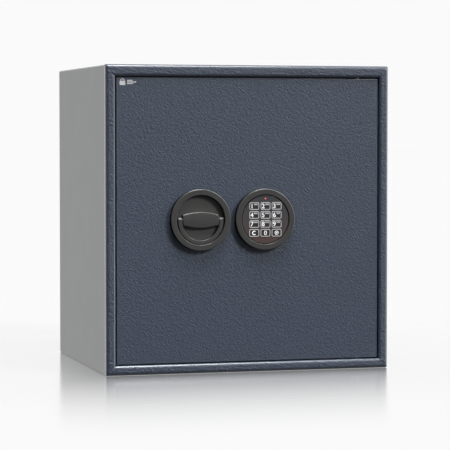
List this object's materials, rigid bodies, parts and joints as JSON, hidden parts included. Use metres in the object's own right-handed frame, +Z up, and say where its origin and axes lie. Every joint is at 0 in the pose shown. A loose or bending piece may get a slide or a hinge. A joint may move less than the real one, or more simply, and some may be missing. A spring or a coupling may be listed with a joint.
{
  "type": "wall safe",
  "caption": "Box safe with a rounded frame, hinged door, folding-bail turning handle, round keypad, sliding locking bolts and a shelf.",
  "frame": {"origin": "centre of the underside of the object's bounding box", "axes": "+X to the right seen from the front, +Y into the cabinet towards the wall, +Z up"},
  "size_m": [0.478, 0.396, 0.5],
  "materials": {
    "graphite_paint": "fine leather texture",
    "grey_paint": "satin",
    "satin_metal": "satin dark grey",
    "bright_steel": "turned",
    "zinc_steel": "zinc plated",
    "brass": "satin",
    "fascia_gloss": "semi-gloss",
    "key_plastic": "semi-matt with light grey print",
    "red_lens": "glossy",
    "board_green": "satin",
    "black_plastic": "matt",
    "battery_wrap": "gloss",
    "felt": "needle felt"
  },
  "bodies": {
    "cabinet": {"front_frame": "graphite_paint", "body_wrap": "grey_paint", "back_panel": "grey_paint", "door_stop": "graphite_paint", "hinge_bracket_upper": "zinc_steel", "hinge_bracket_lower": "zinc_steel", "shelf": "grey_paint", "shelf_rail_left": "zinc_steel", "shelf_rail_right": "zinc_steel", "floor_mat": "felt"},
    "door": {"door_plate": "graphite_paint", "door_casing": "grey_paint", "rear_cover": "grey_paint", "cover_screw_1": "zinc_steel", "cover_screw_2": "zinc_steel", "cover_screw_3": "zinc_steel", "cover_screw_4": "zinc_steel", "hinge_block_upper": "zinc_steel", "hinge_block_lower": "zinc_steel", "hinge_pin_upper": "bright_steel", "hinge_pin_lower": "bright_steel", "claw_strip": "zinc_steel", "guide_stud_lower": "bright_steel", "guide_stud_upper": "bright_steel", "handle_ring": "satin_metal", "spindle_bush": "brass", "keypad_ring": "satin_metal", "keypad_fascia": "fascia_gloss", "keypad_board": "board_green", "led_lens": "red_lens", "keypad_cable": "black_plastic", "lock_case": "zinc_steel", "lock_screw_1": "zinc_steel", "lock_screw_2": "zinc_steel", "battery_tray": "black_plastic", "battery": "battery_wrap"},
    "handle": {"handle_dish": "satin_metal", "spindle": "bright_steel", "crank_arm": "zinc_steel", "crank_pin": "bright_steel", "spindle_circlip": "bright_steel"},
    "bail": {"handle_bail": "satin_metal", "bail_pin": "bright_steel"},
    "boltwork": {"bolt_carrier": "zinc_steel", "locking_bolt_1": "bright_steel", "locking_bolt_2": "bright_steel", "locking_bolt_3": "bright_steel"},
    "lock_bolt": {"lock_bolt": "brass"},
    "key_1": {"key_1": "key_plastic"},
    "key_2": {"key_2": "key_plastic"},
    "key_3": {"key_3": "key_plastic"},
    "key_4": {"key_4": "key_plastic"},
    "key_5": {"key_5": "key_plastic"},
    "key_6": {"key_6": "key_plastic"},
    "key_7": {"key_7": "key_plastic"},
    "key_8": {"key_8": "key_plastic"},
    "key_9": {"key_9": "key_plastic"},
    "key_clear": {"key_clear": "key_plastic"},
    "key_0": {"key_0": "key_plastic"},
    "key_enter": {"key_enter": "key_plastic"}
  },
  "joints": [
    {"name": "door_hinge", "type": "hinge", "parent": "cabinet", "child": "door", "pos_m": [0.188, -0.1785, 0.25], "axis": [0, 0, 1], "range_deg": [0, 100]},
    {"name": "handle_turn", "type": "hinge", "parent": "door", "child": "handle", "pos_m": [-0.0835, -0.182, 0.2495], "axis": [0, -1, 0], "range_deg": [0, 90]},
    {"name": "bail_fold", "type": "hinge", "parent": "handle", "child": "bail", "pos_m": [-0.0835, -0.195, 0.25], "axis": [-1, 0, 0], "range_deg": [0, 90]},
    {"name": "bolt_throw", "type": "slide", "parent": "door", "child": "boltwork", "axis": [-1, 0, 0], "range_m": [0, 0.0213]},
    {"name": "lock_bolt_slide", "type": "slide", "parent": "door", "child": "lock_bolt", "axis": [0, 0, 1], "range_m": [0, 0.008]},
    {"name": "key_1_press", "type": "slide", "parent": "door", "child": "key_1", "axis": [0, 1, 0], "range_m": [0, 0.0006], "stiffness_N_per_m": 300},
    {"name": "key_2_press", "type": "slide", "parent": "door", "child": "key_2", "axis": [0, 1, 0], "range_m": [0, 0.0006], "stiffness_N_per_m": 300},
    {"name": "key_3_press", "type": "slide", "parent": "door", "child": "key_3", "axis": [0, 1, 0], "range_m": [0, 0.0006], "stiffness_N_per_m": 300},
    {"name": "key_4_press", "type": "slide", "parent": "door", "child": "key_4", "axis": [0, 1, 0], "range_m": [0, 0.0006], "stiffness_N_per_m": 300},
    {"name": "key_5_press", "type": "slide", "parent": "door", "child": "key_5", "axis": [0, 1, 0], "range_m": [0, 0.0006], "stiffness_N_per_m": 300},
    {"name": "key_6_press", "type": "slide", "parent": "door", "child": "key_6", "axis": [0, 1, 0], "range_m": [0, 0.0006], "stiffness_N_per_m": 300},
    {"name": "key_7_press", "type": "slide", "parent": "door", "child": "key_7", "axis": [0, 1, 0], "range_m": [0, 0.0006], "stiffness_N_per_m": 300},
    {"name": "key_8_press", "type": "slide", "parent": "door", "child": "key_8", "axis": [0, 1, 0], "range_m": [0, 0.0006], "stiffness_N_per_m": 300},
    {"name": "key_9_press", "type": "slide", "parent": "door", "child": "key_9", "axis": [0, 1, 0], "range_m": [0, 0.0006], "stiffness_N_per_m": 300},
    {"name": "key_clear_press", "type": "slide", "parent": "door", "child": "key_clear", "axis": [0, 1, 0], "range_m": [0, 0.0006], "stiffness_N_per_m": 300},
    {"name": "key_0_press", "type": "slide", "parent": "door", "child": "key_0", "axis": [0, 1, 0], "range_m": [0, 0.0006], "stiffness_N_per_m": 300},
    {"name": "key_enter_press", "type": "slide", "parent": "door", "child": "key_enter", "axis": [0, 1, 0], "range_m": [0, 0.0006], "stiffness_N_per_m": 300}
  ],
  "couplings": [
    {"joint": "bolt_throw", "follows": "handle_turn", "m_per_rad": 0.0135}
  ]
}
